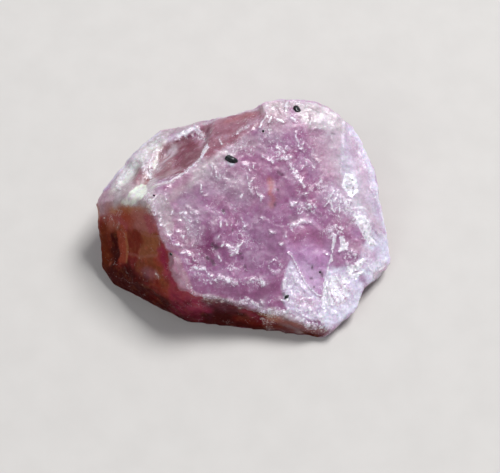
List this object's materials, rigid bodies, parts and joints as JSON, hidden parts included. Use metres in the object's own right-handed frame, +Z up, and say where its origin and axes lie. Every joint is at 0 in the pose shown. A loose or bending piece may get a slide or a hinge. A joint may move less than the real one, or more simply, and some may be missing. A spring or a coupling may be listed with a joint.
{
  "type": "raw ruby crystal",
  "caption": "Rough, opaque rose-red corundum lump with an inclined broad face, a stepped hollow shoulder, an iron-stained side and a flat parting face that it rests on.",
  "frame": {"origin": "under the middle of the lump's bounding box, on the plane of the parting face that it rests on", "axes": "+X along the length, towards the thin end of the broad face's right rim; +Y towards the thick pale crown at the back; +Z up, away from the parting face"},
  "size_m": [0.0206, 0.0156, 0.0075],
  "materials": {
    "rose_corundum": "milky translucent corundum, broken faces with a glassy to frosted lustre"
  },
  "bodies": {
    "root": {"ruby_crystal": "rose_corundum"}
  },
  "joints": []
}
